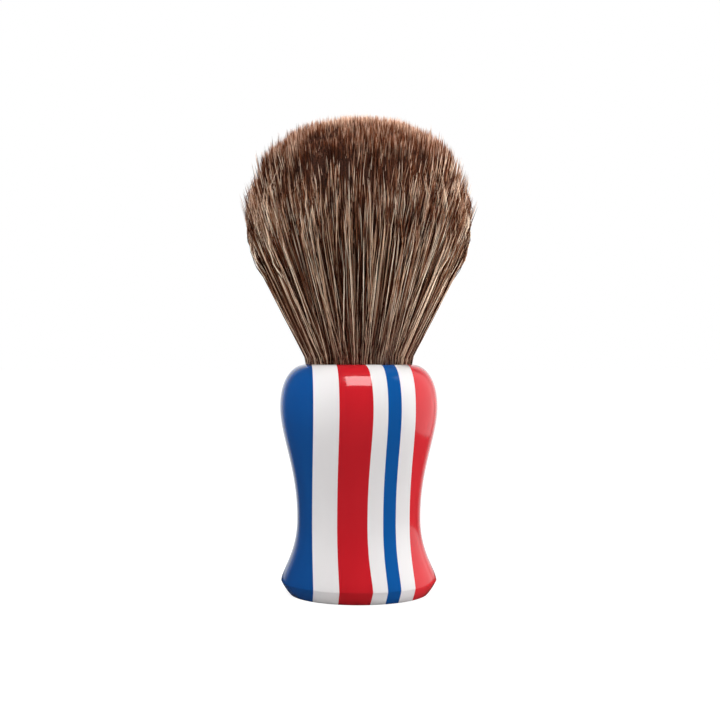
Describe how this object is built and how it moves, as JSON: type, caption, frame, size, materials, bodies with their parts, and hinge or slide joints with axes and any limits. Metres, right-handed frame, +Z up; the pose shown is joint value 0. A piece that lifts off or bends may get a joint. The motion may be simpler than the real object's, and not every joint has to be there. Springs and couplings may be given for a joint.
{
  "type": "shaving brush",
  "caption": "Shaving brush with a bulb-shaped knot of natural hair, set in a short waisted handle turned from glued laminations of coloured resin.",
  "frame": {"origin": "centre of the flat foot that the brush stands on", "axes": "+Z up the handle's turning axis to the tips of the hair, -Y out of the front, where the red centre stripe is"},
  "size_m": [0.0508, 0.0508, 0.1094],
  "materials": {
    "blue_resin": "gloss",
    "white_resin": "gloss",
    "red_resin": "gloss",
    "hair": "matte",
    "thread": "matte",
    "plug_resin": "satin",
    "epoxy": "satin"
  },
  "bodies": {
    "root": {"blue_outer_layer": "blue_resin", "white_layer_left": "white_resin", "red_centre_layer": "red_resin", "white_layer_middle": "white_resin", "blue_narrow_layer": "blue_resin", "white_layer_right": "white_resin", "red_outer_layer": "red_resin", "hair_knot": "hair", "root_binding": "thread", "knot_plug": "plug_resin", "knot_adhesive": "epoxy"}
  },
  "joints": []
}
